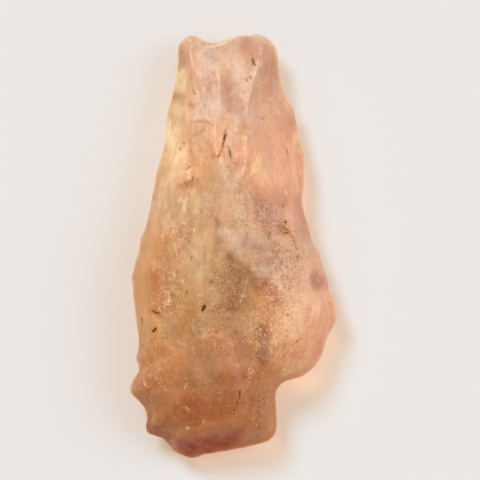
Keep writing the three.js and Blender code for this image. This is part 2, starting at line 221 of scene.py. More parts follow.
# The point moved by hills of noise, so that the listed lines run as unevenly as real ones.
def moved(x, y, rows):
    dx = sum(reach * hills(x, y, seed, cx, cy) for seed, cx, cy, reach in rows)
    dy = sum(reach * hills(x, y, seed + 50, cx, cy) for seed, cx, cy, reach in rows)
    return x + dx, y + dy


# height + change * ((y - at) / distance)^2
def bowAt(bow, y):
    height, at, change, up, down = bow
    return height + change * ((y - at) / np.where(y > at, up, down)) ** 2


def pathDistance(x, y, path):
    return np.min([segmentDistance(x, y, a, b) for a, b in zip(path, path[1:] or path)], axis=0)


# rise * exp(1 - sqrt(1 + (distance / width)^2))
def ridgeRise(x, y, rise, width, path):
    return rise * np.exp(1 - np.sqrt(1 + (pathDistance(x, y, path) / width) ** 2))


# Along and across a line through (midX, midY) at the given turn.
def turned(x, y, midX, midY, turn):
    c, s = math.cos(math.radians(turn)), math.sin(math.radians(turn))
    return (x - midX) * c + (y - midY) * s, (y - midY) * c - (x - midX) * s


# smooth(along) * smooth(right side) * smooth(fading left side) * (1 - along / length)
def scarShare(x, y, headX, headY, turn, half, length, taper, edge):
    along, across = turned(x, y, headX, headY, turn)
    along = along - stone["scarBow"] * (across / half) ** 2
    half = half * (1 - taper * along / length)
    sides = smooth((half - across) / edge / 2) * smooth((half + across) / edge / stone["scarFade"])
    return smooth(along / edge) * sides * np.clip(1 - along / length, 0, 1)


def scars(x, y):
    return sum(depth * scarShare(x, y, hx, hy, turn, half, length, taper, stone["scarEdge"])
               for hx, hy, turn, half, length, depth, taper in stone["scars"])


# Cube root of the summed cubes of depth * (1 - (across / half)^2 - (along / length)^2)^1.3
def scoops(x, y):
    total = 0
    for midX, midY, half, length, turn, depth in stone["scoops"]:
        across, along = turned(x, y, midX, midY, turn)
        left = np.clip(1 - (across / half) ** 2 - (along / length) ** 2, 0, 1)
        total = total + (depth * left**1.3) ** 3
    return np.cbrt(total)


def waves(x, y, rows):
    return sum(h * np.sin(2 * math.pi * (kx * x + ky * y) + phase) for h, kx, ky, phase in rows)


def axisAt(y):
    return stone["axisX"] + stone["axisLean"] * y


# bow - fall across + ridges + waves - scars - scoops - hollows
def upperFace(x, y):
    z = bowAt(stone["crown"], y) - stone["crossFall"] * ((x - axisAt(y)) / stone["crossReach"]) ** 2
    u, v = moved(x, y, stone["tremble"])
    z += sum(ridgeRise(u, v, *ridge) for ridge in stone["ridges"]) - scars(u, v)
    u, v = moved(x, y, stone["wander"])
    z += waves(u, v, stone["upperWaves"]) - scoops(u, v)
    z -= sum(d * np.exp(-((u - hx) ** 2 + (v - hy) ** 2) / r**2) for hx, hy, r, d in stone["hollows"])
    return z


# bow + spread across + waves
def lowerFace(x, y):
    z = bowAt(stone["keel"], y) + stone["keelSpread"] * ((x - axisAt(y)) / stone["crossReach"]) ** 2
    return z + waves(x, y, stone["lowerWaves"])


def grain(x, y):
    return sum(height * hills(x, y, seed, cx, cy) for seed, cx, cy, height in stone["grain"])


# Rises from 0 at the rim to 1 at the bevel's rounded inner border.
def bevelShare(distance, width):
    share, soft = distance / width, stone["bevelRounding"]
    return np.minimum(share, 1) - np.maximum(soft - abs(share - 1), 0) ** 2 / (4 * soft)


# radius * sqrt(1 - (1 - distance / radius)^2): a quarter circle from the rim inwards
def nose(distance):
    radius = stone["noseRadius"]
    return radius * np.sqrt(1 - (1 - np.minimum(distance / radius, 1)) ** 2)


# Both faces as rungs from the rim to the spine, denser towards the rim: point = rim + (spine - rim) * inward.
def stoneSurface():
    steps = stone["rimSteps"]
    rim = rimCurve(stone["rim"], steps)
    low, high = rim[:, :2].min(0), rim[:, :2].max(0)
    size = np.array([cadBox[1].x - cadBox[0].x, cadBox[1].y - cadBox[0].y]) / mm
    rim[:, :2] = (rim[:, :2] - (low + high) / 2) * size / (high - low)
    offAxis = np.where(rim[:, 1] > 0, abs(rim[:, 0] - axisAt(rim[:, 1])), 1e9)
    rim = np.roll(rim, -int(np.argmin(offAxis)), 0)
    index = np.arange(steps)
    across = np.minimum(index, steps - index)
    share = across / (steps / 2)
    spineShare = (share + (1 - np.cos(math.pi * share)) / 2) / 2
    top, bottom = stone["spineEnds"]
    spineY = top + (bottom - top) * spineShare
    edge = rim[:, 2] + sum(height * hills(rim[:, 0], rim[:, 1], seed, cx, cy)
                           for seed, cx, cy, height in stone["edgeWaver"])
    edge, bevel = edge[:, None], rim[:, 3][:, None]

    def sheet(rings, upper):
        ring = (np.arange(rings + 1) / rings)[None, :]
        inward = ring * stone["evenRings"] + (1 - np.cos(math.pi / 2 * ring)) * (1 - stone["evenRings"])
        x = rim[:, :1] + (axisAt(spineY)[:, None] - rim[:, :1]) * inward
        y = rim[:, 1:2] + (spineY[:, None] - rim[:, 1:2]) * inward
        distance = rimDistance(x, y, rim, steps // 9)
        distance[:, 0] = 0
        eased = np.mean([np.roll(distance, step, 0) for step in range(-stone["ease"], stone["ease"] + 1)], axis=0)
        distance += (eased - distance) * smooth(distance / 0.9)
        if upper:
            shoulder = stone["shoulderDrop"] * np.clip(1 - distance / stone["shoulderReach"], 0, 1) ** 2
            rise = upperFace(x, y) - shoulder - edge - stone["noseRadius"]
            z = edge + nose(distance) + rise * bevelShare(distance, bevel)
            z += grain(x, y) * smooth(distance / 0.8)
        else:
            rise = lowerFace(x, y) - edge + stone["noseRadius"]
            z = edge - nose(distance) + rise * bevelShare(distance, stone["lowerBevel"])
            z = np.maximum(z + 0.7 * grain(x + 9, y) * smooth(distance / 0.8), 0)
        return np.stack([x, y, z], axis=2), distance

    upper, upperDistance = sheet(stone["upperRings"], True)
    lower, lowerDistance = sheet(stone["lowerRings"], False)
    return upper, upperDistance, lower, lowerDistance


# Vertices: upper sheet's rings, its spine, lower sheet's inner rings, its spine; rungs k and steps - k share theirs.
def stoneMesh():
    upper, upperDistance, lower, lowerDistance = stoneSurface()
    steps = stone["rimSteps"]
    owner = np.minimum(np.arange(steps), (steps - np.arange(steps)) % steps)
    half = steps // 2 + 1

    def numbered(sheet, first, rimIds):
        rings = sheet.shape[1] - 1
        ids = np.empty((steps, rings + 1), int)
        start = 0 if rimIds is None else 1
        if rimIds is not None:
            ids[:, 0] = rimIds
        inner = np.arange(steps * (rings - start)).reshape(steps, rings - start) + first
        ids[:, start:rings] = inner
        ids[:, rings] = first + inner.size + owner
        points = np.vstack([sheet[:, start:rings].reshape(-1, 3), sheet[:half, rings]])
        return ids, points, start, rings

    upperIds, upperPoints, start, rings = numbered(upper, 0, None)
    reach = np.r_[upperDistance[:, :rings].ravel(), upperDistance[:half, rings]]
    lowerIds, lowerPoints, start, rings = numbered(lower, len(upperPoints), upperIds[:, 0])
    reach = np.r_[reach, np.zeros(len(lowerPoints))]

    def triangles(ids, flip):
        a, b = ids[:, :-1], np.roll(ids, -1, 0)[:, :-1]
        c, d = np.roll(ids, -1, 0)[:, 1:], ids[:, 1:]
        early = (np.arange(steps) % (steps // 2) < steps // 4)[:, None, None]
        first = np.where(early, np.stack([a, b, d], 2), np.stack([a, b, c], 2))
        second = np.where(early, np.stack([b, c, d], 2), np.stack([a, c, d], 2))
        both = np.concatenate([first.reshape(-1, 3), second.reshape(-1, 3)])
        both = both[(both[:, 0] != both[:, 1]) & (both[:, 1] != both[:, 2]) & (both[:, 0] != both[:, 2])]
        return both[:, ::-1] if flip else both

    points = np.vstack([upperPoints, lowerPoints])
    faces = np.vstack([triangles(upperIds, True), triangles(lowerIds, False)])
    return points, faces, reach


def meshObject(name, points, faces):
    mesh = bpy.data.meshes.new(name)
    mesh.vertices.add(len(points))
    mesh.vertices.foreach_set("co", (points * mm).ravel())
    mesh.loops.add(faces.size)
    mesh.loops.foreach_set("vertex_index", faces.ravel())
    mesh.polygons.add(len(faces))
    mesh.polygons.foreach_set("loop_start", np.arange(0, faces.size, faces.shape[1]))
    mesh.update(calc_edges=True)
    mesh.validate()
    mesh.polygons.foreach_set("use_smooth", np.ones(len(faces), bool))
    made = bpy.data.objects.new(name, mesh)
    bpy.context.scene.collection.objects.link(made)
    return made


def addAttribute(made, name, values):
    kind, field = ("FLOAT", "value") if values.ndim == 1 else ("FLOAT_VECTOR", "vector")
    layer = made.data.attributes.new(name, kind, "POINT")
    layer.data.foreach_set(field, values.astype(np.float32).ravel())


points, faces, reach = stoneMesh()
glassStone = meshObject("glassStone", points, faces)
print("stone surface:", len(points), "points,", len(faces), "triangles")

# Where the glass is milky, brown, pink or yellow, with painted light and shade in some tints: strength, reach, path of
# x, y points in millimetres.
tints = {
    "veil": [
        (1.00, 2.4, [(-2.4, 19.6), (-2.0, 13.8)]), (1.00, 2.5, [(1.2, 19.6), (1.4, 13.4)]),
        (0.50, 2.2, [(3.4, 16.0), (4.4, 9.0), (5.0, 2.0)]), (0.65, 2.2, [(6.4, 0.6), (7.6, -2.6)]),
        (0.44, 2.6, [(6.0, -3.0), (7.6, -7.0), (6.2, -10.0)]), (0.60, 1.4, [(-0.2, 12.8), (0.1, 8.6)]),
        (0.50, 0.9, [(-0.7, 6.6), (0.5, 3.4)]), (0.30, 0.9, [(-4.2, 20.4), (-4.3, 17.6)]),
        (0.55, 0.5, [(-1.4, 8.8), (-0.9, 7.4)]), (0.35, 1.3, [(0.0, 1.4), (2.6, -1.2)]),
        (0.40, 0.9, [(-1.9, 4.4), (-1.2, 3.0)]), (0.35, 1.1, [(-7.4, 1.6), (-8.2, -1.0)]), (0.75, 0.8, [(1.0, 14.6), (0.2, 10.6)]),
        (0.85, 1.3, [(1.1, 13.4), (2.0, 11.2)]), (0.40, 1.0, [(-4.4, 12.0), (-4.2, 10.2)]),
    ],
    # Pinkish glass, and along the right side a painted pink glow, as of light coming through from behind.
    "roseAndGlow": [
        (0.80, 1.7, [(5.4, 12.4), (6.0, 6.0), (7.0, 1.6)]), (0.65, 1.4, [(2.2, 6.2), (3.4, 3.6), (4.6, 2.6)]),
        (0.65, 1.5, [(9.2, -7.0), (7.8, -10.6)]), (0.75, 0.9, [(1.3, 19.6), (2.7, 19.8)]),
        (0.95, 1.1, [(6.8, 9.2), (6.9, 2.0)]), (0.75, 0.9, [(7.9, -1.0), (9.6, -5.4), (9.3, -9.4), (8.0, -12.0)]),
        (0.60, 0.5, [(0.75, 10.2), (0.6, 7.0)]), (0.50, 1.8, [(-2.6, -10.2), (0.6, -9.8)]),
    ],
    # Pale yellow glass; its first three rows, on the left bevel, are also painted light, making that side paler where
    # it faces the lamp.
    "strawAndLitBevel": [
        (1.00, 0.8, [(-5.3, 17.3), (-5.2, 16.3)]), (0.85, 1.4, [(-6.0, 13.4), (-6.0, 9.6)]),
        (0.75, 1.2, [(-6.4, 7.0), (-6.8, 4.8)]), (0.75, 1.2, [(-3.7, -0.4), (-3.7, -2.6)]),
        (0.30, 1.0, [(-3.4, 3.4), (-2.6, 5.8)]), (0.50, 0.8, [(-9.8, -2.6), (-9.5, -8.4)]),
        (0.45, 0.5, [(2.8, 9.3), (2.1, 7.4)]), (0.45, 0.9, [(5.2, -12.6), (7.0, -12.4)]), (0.28, 1.8, [(3.6, -5.2), (6.0, -7.6)]),
        (0.35, 0.5, [(2.9, 9.3), (3.0, 6.8)]), (0.30, 1.0, [(6.6, 0.6), (7.6, -1.6)]),
    ],
    "ochre": [
        (0.60, 0.5, [(-4.9, 5.8), (-4.1, 6.8)]),
        (0.80, 2.8, [(-7.4, -0.6), (-8.4, -4.0), (-8.6, -10.0)]), (0.95, 3.0, [(-5.2, -4.6), (-3.2, -9.6)]),
        (0.90, 1.3, [(-9.6, -2.6), (-9.4, -9.8)]), (0.80, 1.6, [(-8.8, -12.0), (-9.4, -15.2)]),
        (0.80, 1.8, [(1.8, -5.4), (2.4, -9.0)]), (0.55, 2.0, [(-3.6, 1.0), (-1.6, -2.4)]),
        (0.85, 2.2, [(3.4, -13.4), (3.6, -18.8)]), (0.40, 1.6, [(6.6, -10.6), (5.0, -12.6)]),
        (0.35, 1.2, [(-1.4, 7.0), (-3.4, 6.0)]),
    ],
    # Partly greyish pink glass, partly painted shade: darker, greyer glass laid in the scoops and hollows.
    "mauveAndShade": [
        (0.80, 1.3, [(3.1, 3.9), (3.9, 1.8)]), (0.95, 0.75, [(8.2, -3.2), (8.8, -3.8)]),
        (0.90, 0.9, [(3.6, -3.8), (4.1, -5.3)]), (0.50, 1.5, [(4.6, -4.8), (6.8, -2.8)]), (0.35, 0.8, [(3.5, -6.0), (3.6, -7.6)]),
        (0.55, 1.1, [(-0.6, 15.8), (0.1, 14.2)]), (0.60, 0.8, [(3.5, 19.4), (3.7, 15.6)]),
        (0.15, 1.0, [(-8.0, -3.2), (-7.4, -5.8)]), (0.75, 1.6, [(4.2, -1.0), (5.6, -2.6)]), (0.30, 1.6, [(6.4, 0.6), (7.0, -1.6)]),
        (0.30, 0.8, [(-5.2, 1.8), (-4.6, 0.8)]),
        (0.50, 0.8, [(-4.6, 20.6), (-4.9, 19.0)]), (0.30, 1.8, [(3.6, 14.4), (4.4, 9.0)]), (0.70, 0.6, [(1.3, 0.5), (2.6, -0.3)]),
        (0.65, 1.0, [(1.5, 19.9), (2.9, 19.8)]), (0.45, 1.2, [(4.4, 5.2), (3.8, 3.4)]),
        (0.35, 0.5, [(-3.0, 10.2), (-2.2, 9.4)]),
    ],
    "honey": [
        (0.92, 4.8, [(-6.0, -17.2), (2.0, -16.8)]), (1.00, 2.6, [(-4.6, -16.2), (-0.4, -15.4)]),
        (0.45, 3.0, [(-2.6, -11.2), (0.6, -10.8)]), (0.80, 1.8, [(-8.6, -14.6), (-8.2, -17.6)]), (0.85, 1.0, [(-8.9, -17.0), (-8.6, -18.2)]), (0.90, 0.6, [(-0.2, -1.0), (0.0, -2.4)]),
        (0.90, 1.6, [(0.1, -3.2), (0.0, -6.0)]), (0.70, 0.9, [(1.2, -2.6), (2.3, -3.9)]),
        (0.85, 1.0, [(3.0, -8.8), (2.6, -11.6)]), (0.68, 1.6, [(-8.6, -10.8), (-8.4, -14.0)]),
        # The first row on the next line is a painted shadow, a brown line along the valley.
        (0.45, 0.4, [(-1.45, 2.5), (-1.5, 0.8), (-1.8, -0.6)]), (0.50, 1.0, [(-8.0, -2.6), (-7.4, -6.0)]), (0.15, 1.1, [(-7.0, 1.4), (-8.2, -2.0)]), (0.60, 1.0, [(-0.7, -4.6), (-1.2, -6.4)]),
        (0.55, 0.5, [(-4.9, 5.9), (-4.1, 6.5)]), (0.45, 0.25, [(-4.3, 14.6), (-3.7, 14.45)]),
        (0.65, 0.4, [(4.7, 1.6), (5.5, 1.4)]), (0.35, 1.0, [(-1.4, -8.6), (-0.6, -7.2)]),
        (0.95, 1.8, [(-1.6, -13.4), (1.6, -13.2)]), (0.82, 1.8, [(-8.6, -13.8), (-4.6, -14.0)]),
        # The last row on the next line is a painted shadow where the left rim dents in.
        (0.80, 2.0, [(-8.4, -17.6), (-6.6, -19.4)]), (0.30, 1.0, [(-9.2, -9.0), (-9.3, -10.6)]), (0.55, 1.4, [(0.0, -9.0), (-0.6, -7.0)]), (0.50, 0.5, [(-6.1, 15.4), (-5.4, 15.2)]),
    ],
    # Dark red-brown glass, and on the bottom bevel, which faces away from the lamps, painted shade as well.
    "umberAndShade": [
        (0.98, 1.15, [(-4.8, -20.0), (-2.2, -19.8), (0.0, -19.3)]), (0.15, 0.8, [(0.2, -19.6), (1.2, -19.5)]),
        (0.25, 1.8, [(-4.0, -16.4), (-1.6, -16.8)]), (0.45, 1.0, [(-8.6, -18.4), (-6.8, -19.6)]), (0.80, 0.9, [(-4.4, -20.8), (-2.4, -20.7)]),
        (0.22, 0.8, [(3.0, -9.2), (2.7, -11.8)]), (0.14, 1.6, [(-2.6, -10.4), (0.4, -10.2)]),
    ],
    "sand": [
        (0.75, 1.6, [(-6.9, -11.0), (-6.7, -12.4)]), (0.60, 0.8, [(1.0, -19.7), (2.8, -19.3)]),
        (0.75, 0.55, [(-5.6, -19.1), (-3.4, -18.7), (-0.2, -18.0), (1.6, -17.6)]), (0.40, 0.6, [(-7.2, -12.8), (-7.6, -17.6)]),
        (0.45, 0.8, [(-3.2, -12.6), (-2.8, -15.2)]), (0.75, 0.5, [(3.85, -14.6), (3.9, -18.8)]),
        (0.35, 0.9, [(-3.3, -6.8), (-3.2, -8.8)]), (0.50, 0.5, [(5.0, -13.2), (7.0, -12.6)]), (0.40, 0.5, [(0.9, -14.0), (0.6, -16.6)]),
    ],
    "blush": [
        (0.80, 1.1, [(6.0, 10.6), (6.2, 6.0)]), (0.55, 0.9, [(0.2, 9.2), (0.1, 7.2)]),
        (0.55, 1.3, [(7.6, -9.8), (6.4, -11.4)]), (0.30, 1.2, [(-3.7, -0.8), (-3.4, -2.2)]),
        (0.60, 1.0, [(9.3, -5.8), (9.2, -8.4)]), (0.45, 1.0, [(-7.2, 6.0), (-7.3, 4.2)]),
        (0.45, 0.9, [(-4.7, 12.0), (-4.5, 10.4)]), (0.30, 0.9, [(-3.8, 17.2), (-3.8, 15.6)]),
    ],
    "milk": [
        (0.62, 0.6, [(-1.1, 1.5), (0.3, -0.4), (1.8, -1.6), (3.0, -2.6)]), (0.35, 0.5, [(3.6, -3.0), (5.8, -4.6)]),
        (0.36, 1.5, [(1.8, 1.0), (4.0, -0.6), (6.4, -3.0)]), (0.40, 0.8, [(5.6, -4.6), (8.6, -5.8)]),
        (0.40, 0.5, [(-1.3, 8.6), (-0.8, 7.2)]), (0.30, 0.7, [(-4.8, 7.4), (-4.6, 6.8)]),
    ],
    "grit": [
        (0.95, 2.8, [(5.6, -0.6), (4.8, -6.0), (3.8, -9.6)]), (0.18, 3.4, [(-3.0, -14.0), (1.0, -16.0)]),
        (0.50, 3.0, [(-1.0, -3.0), (-1.6, -9.0)]), (0.45, 1.6, [(3.0, -13.0), (2.6, -18.0)]),
        (0.75, 1.8, [(-6.0, -2.0), (-6.6, -6.0)]), (0.75, 1.3, [(1.1, 5.8), (1.0, 2.6)]),
        (0.75, 0.9, [(-4.8, 8.2), (-4.9, 4.0)]), (0.65, 1.9, [(6.4, -7.0), (5.8, -12.0)]),
        (0.60, 1.4, [(-6.6, 1.8), (-5.0, 0.2)]), (0.60, 0.9, [(2.4, -11.0), (1.6, -13.4)]),
        (0.55, 0.8, [(-0.8, 8.4), (0.3, 5.6)]), (0.45, 2.0, [(-8.0, -7.6), (-7.6, -14.0)]),
        (0.70, 2.0, [(3.0, 3.4), (5.4, 1.6)]),
    ],
}

# How sharply a tint ends; 2 where none is given.
crispness = {"milk": 4, "mauveAndShade": 3, "strawAndLitBevel": 3}

# Half width, strength, path: narrow marks whose border stays crisp between the mesh's points.
marks = {
    "fleck": [
        (0.14, 1.0, [(-2.87, -5.98), (-3.09, -6.38)]), (0.13, 1.0, [(-7.86, -8.3), (-8.1, -8.58)]),
        (0.07, 0.95, [(-8.12, -6.46), (-7.85, -6.72), (-7.5, -6.66)]), (0.05, 0.8, [(-7.42, -7.1)]),
        (0.045, 0.6, [(-7.1, -7.0)]), (0.045, 0.6, [(-7.1, -7.3)]), (0.13, 1.0, [(5.27, 2.45)]),
        (0.04, 0.5, [(-0.8, 11.75), (-0.78, 11.4)]),
        (0.095, 0.95, [(-0.80, 11.3), (-0.95, 10.7)]), (0.065, 0.9, [(-0.95, 10.7), (-1.08, 10.05)]),
        (0.035, 0.7, [(-1.08, 10.05), (-1.42, 9.3)]), (0.065, 0.85, [(-1.43, 9.2), (-1.55, 9.05)]),
        (0.035, 0.7, [(-0.5, 10.1), (-0.4, 9.7)]), (0.06, 0.85, [(-0.38, 9.6), (-0.26, 9.05)]),
        (0.11, 0.85, [(1.95, 18.9), (2.12, 18.45)]), (0.05, 0.8, [(1.34, 16.99), (1.34, 16.75)]),
        (0.05, 0.8, [(1.74, 17.24), (1.76, 16.97)]), (0.04, 0.5, [(2.05, 17.04)]),
        (0.08, 0.8, [(-3.92, 15.51)]), (0.04, 0.6, [(-4.02, 15.92), (-4.0, 15.75)]), (0.06, 0.35, [(-3.1, 15.36)]),
        (0.09, 0.75, [(2.92, 12.96)]), (0.07, 0.5, [(-5.04, 10.55), (-4.98, 10.4)]),
        (0.06, 0.75, [(-5.35, 9.95), (-5.38, 9.78)]), (0.06, 0.35, [(-3.1, 11.7)]), (0.06, 0.3, [(-3.3, 11.4)]), (0.05, 0.3, [(-3.7, 11.25)]), (0.05, 0.3, [(-2.9, 11.75)]),
        (0.04, 0.4, [(-4.33, 9.75), (-4.28, 9.5)]), (0.04, 0.8, [(-4.63, 7.9), (-4.38, 8.1)]),
        (0.04, 0.6, [(-4.85, 7.8)]), (0.06, 0.7, [(-4.07, 6.99), (-4.17, 6.58)]),
        (0.05, 0.5, [(-4.79, 6.48), (-4.7, 5.87)]), (0.045, 0.5, [(-4.94, 5.56)]), (0.045, 0.5, [(-4.73, 5.25)]),
        (0.035, 0.6, [(-3.4, 3.83), (-3.15, 3.42)]), (0.10, 0.2, [(-1.37, 4.2), (-1.32, 3.7)]),
        (0.06, 0.8, [(4.75, 1.6)]), (0.07, 0.8, [(5.03, 1.85)]), (0.08, 0.85, [(5.22, 1.42), (5.5, 1.36)]),
        (0.06, 0.7, [(5.15, 2.05)]), (0.06, 0.6, [(4.7, 2.2)]), (0.06, 0.6, [(5.35, 1.75)]),
        (0.06, 0.55, [(4.95, 1.15), (5.1, 1.25)]), (0.05, 0.5, [(5.5, 1.75)]), (0.05, 0.6, [(4.55, 1.3)]),
        (0.04, 0.5, [(5.0, 4.3), (5.05, 3.9)]), (0.05, 0.5, [(5.9, 1.1), (6.05, 0.8)]), (0.05, 0.45, [(6.15, 0.5)]),
        (0.05, 0.6, [(3.9, -4.6)]), (0.05, 0.6, [(4.2, -4.9)]), (0.05, 0.5, [(3.6, -4.2)]), (0.05, 0.7, [(4.6, 2.0)]), (0.05, 0.6, [(4.95, 1.45)]),
        (0.05, 0.8, [(3.66, 1.38), (3.58, 0.95)]), (0.05, 0.8, [(4.88, -1.48), (4.84, -1.78)]),
        (0.10, 0.65, [(6.49, -1.07)]), (0.06, 0.5, [(6.08, 0.66), (6.2, 0.3)]), (0.05, 0.5, [(6.35, 0.0), (6.4, -0.3)]),
        (0.05, 0.5, [(5.06, 4.13)]), (0.04, 0.7, [(5.42, 9.85), (5.52, 9.34)]), (0.04, 0.4, [(5.37, 11.17), (5.37, 10.97)]),
        (0.09, 0.95, [(-2.18, -3.52)]), (0.05, 0.7, [(-4.73, -4.44), (-4.7, -4.69)]), (0.05, 0.6, [(-5.35, -5.66)]),
        (0.05, 0.55, [(-4.22, -1.07), (-4.27, -1.38)]), (0.04, 0.5, [(-5.96, -0.66), (-5.86, -1.07)]),
        (0.07, 0.9, [(5.47, -6.89)]), (0.07, 0.9, [(6.39, -9.54)]), (0.04, 0.6, [(6.8, -9.39)]),
        (0.05, 0.5, [(8.53, -9.85)]), (0.09, 0.75, [(0.27, -8.62)]), (0.09, 0.75, [(1.18, -13.11)]),
        (0.07, 0.55, [(-1.37, -13.01), (-1.16, -13.32)]), (0.07, 1.0, [(0.66, -14.5), (0.64, -15.1)]),
        (0.06, 0.9, [(0.6, -15.35)]), (0.06, 0.9, [(0.4, -15.6), (0.36, -15.9)]), (0.06, 0.8, [(0.3, -16.2)]),
        (0.075, 0.9, [(0.0, -16.5), (0.2, -16.42)]), (0.05, 0.6, [(0.5, -15.9)]), (0.06, 0.7, [(-0.15, -16.2)]),
        (0.05, 0.5, [(0.5, -16.9), (0.4, -17.2)]), (0.08, 0.75, [(2.1, -17.09)]), (0.05, 0.6, [(2.41, -19.34)]),
        (0.07, 0.65, [(-9.33, -7.3), (-9.31, -7.8)]), (0.05, 0.8, [(-9.1, -11.68)]), (0.05, 0.8, [(-9.1, -12.17)]),
        (0.06, 0.7, [(-9.2, -10.15)]), (0.08, 0.45, [(-8.82, -10.56), (-8.62, -10.45)]), (0.07, 0.75, [(-7.08, -10.41)]),
        (0.05, 0.6, [(-7.8, -13.83), (-7.8, -14.03)]), (0.06, 0.25, [(3.94, 19.03), (3.99, 18.21)]),
        (0.05, 0.2, [(4.24, 18.4), (4.35, 17.0)]), (0.05, 0.2, [(2.9, 15.77), (3.1, 14.6)]),
        (0.05, 0.25, [(3.3, 18.6), (3.35, 17.7)]), (0.06, 0.2, [(3.6, 16.8), (3.75, 15.4)]), (0.05, 0.25, [(2.7, 18.3), (2.8, 17.2)]), (0.04, 0.5, [(9.8, -5.8)]),
    ],
    # Pale chips, and along the ridge crests painted highlights: thin bright lines where the crests catch the light.
    "chipsAndGlints": [
        (0.11, 0.5, [(-4.45, 21.1), (-4.2, 20.3)]), (0.05, 0.6, [(-4.35, 20.2), (-4.35, 19.5), (-4.2, 18.6)]),
        (0.05, 0.3, [(-4.2, 18.6), (-4.1, 17.6), (-3.9, 16.8), (-3.95, 15.9)]),
        (0.09, 0.6, [(-2.9, 20.36), (-1.88, 20.3), (-0.86, 20.7), (-0.2, 21.1)]), (0.05, 0.5, [(2.5, 18.8), (2.45, 18.2), (2.25, 17.8)]),
        (0.10, 0.8, [(2.25, 17.7), (2.2, 17.3), (1.95, 17.0)]), (0.07, 0.5, [(1.95, 17.0), (1.75, 16.3), (1.75, 15.5)]),
        (0.08, 0.6, [(1.75, 17.6), (1.9, 17.35)]), (0.07, 0.5, [(1.6, 17.1), (1.7, 16.8)]),
        (0.07, 0.35, [(1.7, 15.4), (1.4, 14.4), (1.3, 13.4)]), (0.20, 0.4, [(2.7, 20.2), (2.8, 19.5)]),
        (0.045, 0.6, [(-1.75, 13.4), (-1.8, 11.4), (-1.76, 10.1), (-1.6, 9.0)]),
        (0.06, 0.55, [(-1.6, 9.0), (-1.2, 8.1), (-1.0, 7.2), (-0.4, 6.1)]), (0.06, 0.3, [(-0.4, 6.1), (0.1, 5.9)]),
        (0.08, 0.28, [(-1.7, 18.4), (-1.48, 17.2), (-1.42, 16.0)]), (0.11, 0.34, [(-1.42, 16.0), (-1.45, 14.4), (-1.7, 13.4)]), (0.24, 0.4, [(-1.35, 8.8), (-0.95, 7.7)]),
        (0.12, 0.45, [(1.3, 11.7), (1.25, 9.8)]), (0.05, 0.35, [(1.15, 9.4), (0.95, 7.5), (0.7, 6.4)]),
        (0.06, 0.2, [(-0.7, 12.0), (0.2, 12.1), (0.9, 11.4), (1.15, 10.8)]), (0.10, 0.4, [(1.3, 10.6), (1.2, 9.2), (1.0, 7.4)]), (0.08, 0.25, [(-1.2, 19.3), (-0.4, 18.2), (0.5, 17.3)]),
        (0.06, 0.25, [(-0.1, 18.8), (0.6, 17.8)]), (0.10, 0.2, [(-0.2, 16.9), (0.7, 16.7), (1.5, 16.9)]),
        (0.10, 0.6, [(4.55, 13.62)]), (0.05, 0.5, [(4.1, 17.0), (4.2, 15.4)]), (0.10, 0.5, [(-4.7, 7.6), (-4.45, 7.4)]), (0.09, 0.5, [(-4.5, 7.0), (-4.3, 6.8)]),
        (0.14, 0.9, [(-5.3, 4.9), (-5.0, 4.6)]), (0.16, 0.9, [(-5.0, 4.5), (-5.02, 3.8)]), (0.09, 0.8, [(-4.62, 4.85), (-4.9, 4.5)]), (0.08, 0.5, [(-4.55, 5.65)]),
        (0.045, 0.6, [(-5.6, 2.05), (-6.3, 2.15)]), (0.045, 0.4, [(-6.5, 2.1), (-6.9, 1.9)]), (0.06, 0.6, [(-7.1, 1.3), (-7.2, 0.6)]),
        (0.04, 0.3, [(-7.5, 0.1), (-7.2, -0.9), (-7.0, -1.5)]), (0.04, 0.3, [(-6.7, 0.2), (-6.2, -0.8), (-5.95, -1.2)]),
        (0.05, 0.5, [(-5.3, 2.5), (-4.9, 2.3)]), (0.05, 0.45, [(-5.0, 0.9), (-5.5, 0.5)]), (0.10, 0.45, [(-3.9, 1.7), (-3.95, 1.3)]),
        (0.08, 0.8, [(0.9, 4.0)]), (0.07, 0.7, [(0.7, 3.7)]), (0.09, 0.9, [(1.1, 3.3), (1.1, 3.0)]), (0.06, 0.6, [(0.8, 2.9)]),
        (0.06, 0.5, [(1.2, 2.4)]), (0.05, 0.5, [(0.5, 3.1)]), (0.09, 0.7, [(5.25, 5.6), (5.35, 5.3)]), (0.06, 0.6, [(5.1, -1.7), (5.3, -2.4)]),
        (0.05, 0.6, [(1.4, -3.3), (1.2, -4.1)]), (0.07, 0.5, [(1.1, -4.4), (0.75, -5.5)]), (0.05, 0.4, [(0.9, -4.2), (1.1, -4.8)]),
        (0.09, 0.8, [(-5.95, -2.6), (-5.9, -2.95)]), (0.05, 0.6, [(-6.9, -4.5), (-6.5, -4.8), (-6.4, -5.4)]),
        (0.05, 0.5, [(-6.2, -4.2), (-5.9, -4.6)]), (0.09, 0.8, [(-6.5, -5.5)]), (0.08, 0.6, [(-7.6, -4.4)]), (0.06, 0.5, [(-5.0, -5.2)]),
        (0.07, 0.8, [(-7.35, -6.0), (-7.6, -6.25), (-7.35, -6.45)]), (0.07, 0.4, [(-3.6, -4.9), (-3.0, -4.8)]), (0.06, 0.6, [(-2.2, -2.9), (-2.1, -3.2)]),
        (0.45, 0.3, [(-3.1, -7.0), (-3.0, -8.9)]), (0.09, 0.3, [(-4.0, -7.3), (-4.0, -8.6)]),
        (0.08, 0.2, [(-3.6, -9.1), (-2.5, -9.1)]), (0.05, 0.3, [(-2.5, -7.4), (-2.5, -8.4)]), (0.08, 0.5, [(0.1, -8.1)]), (0.15, 1.0, [(2.2, -11.3)]),
        (0.06, 0.7, [(2.15, -11.9)]), (0.08, 0.8, [(1.6, -12.3)]), (0.07, 0.7, [(2.0, -12.4), (1.9, -12.7)]), (0.05, 0.6, [(1.5, -12.7)]),
